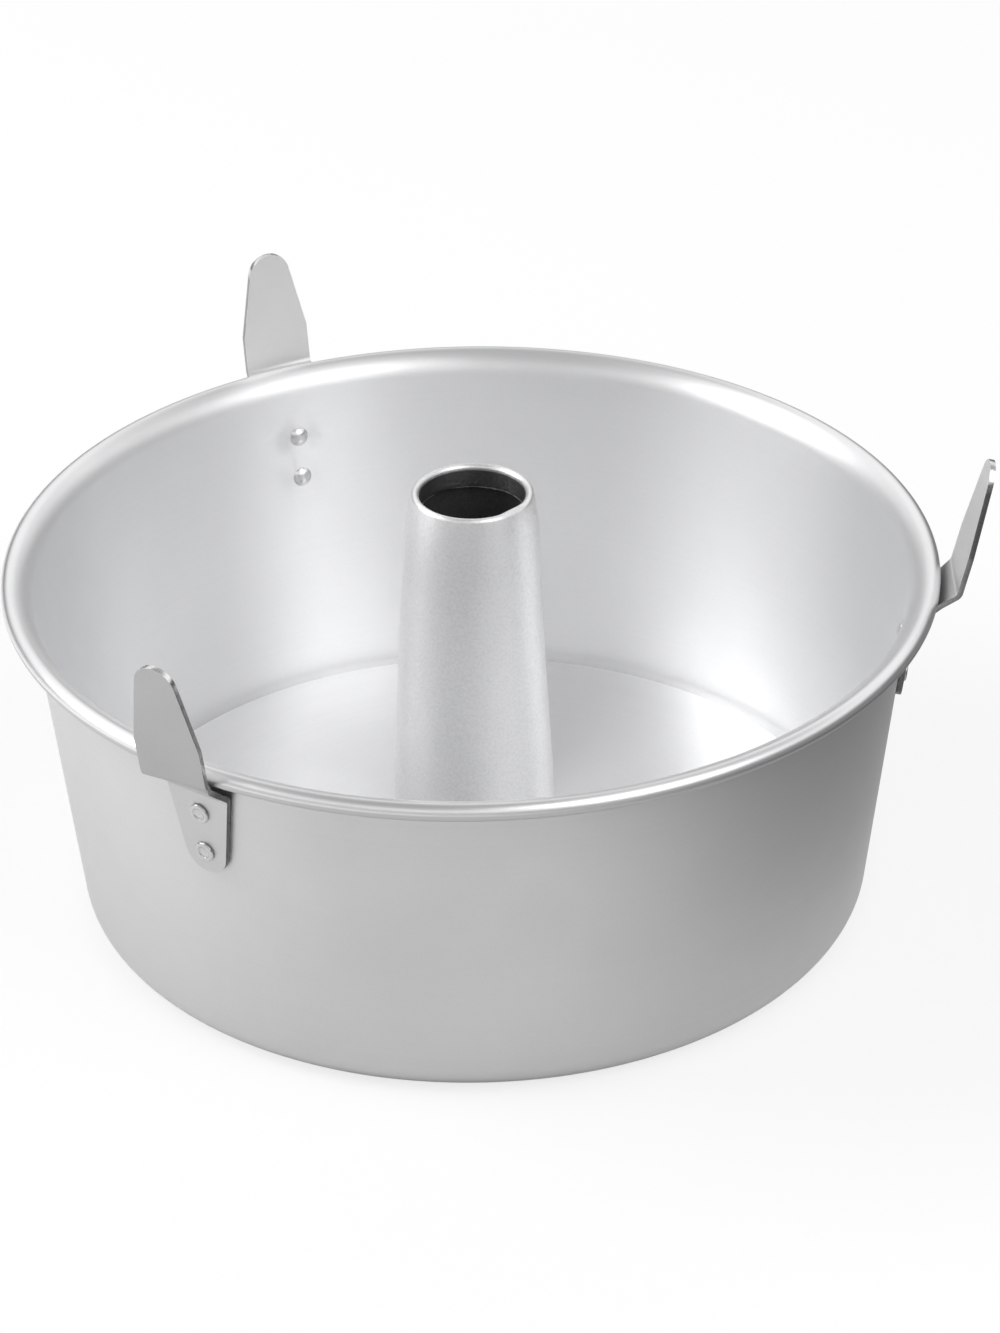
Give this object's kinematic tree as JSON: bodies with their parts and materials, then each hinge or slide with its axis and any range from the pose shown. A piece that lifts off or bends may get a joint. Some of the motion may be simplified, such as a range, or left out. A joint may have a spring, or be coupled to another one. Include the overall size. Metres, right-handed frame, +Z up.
{
  "type": "angel food cake pan",
  "caption": "Round tube cake pan of bare aluminium with a drafted wall, a curled rim, riveted cooling legs and a loose base whose centre tube lifts the cake out.",
  "frame": {"origin": "on the pan's axis, in the plane of the bottom lip that the pan stands on", "axes": "+Z up along the centre tube, +X towards the right-hand leg, +Y towards the back"},
  "size_m": [0.2868, 0.2722, 0.1434],
  "materials": {
    "shell": "satin, bare",
    "base": "satin, bare",
    "tube": "satin with a fine grain outside, dark and rough inside",
    "leg": "satin strip with cut edges",
    "rivet": "bright, pressed"
  },
  "bodies": {
    "pan": {"pan_shell": "shell", "leg_right": "leg", "leg_back": "leg", "leg_front": "leg", "rivet_right_upper": "rivet", "rivet_right_lower": "rivet", "rivet_back_upper": "rivet", "rivet_back_lower": "rivet", "rivet_front_upper": "rivet", "rivet_front_lower": "rivet"},
    "insert": {"base_plate": "base", "centre_tube": "tube"}
  },
  "joints": [
    {"name": "insert_lift", "type": "slide", "parent": "pan", "child": "insert", "axis": [0, 0, 1], "range_m": [0, 0.15]}
  ]
}
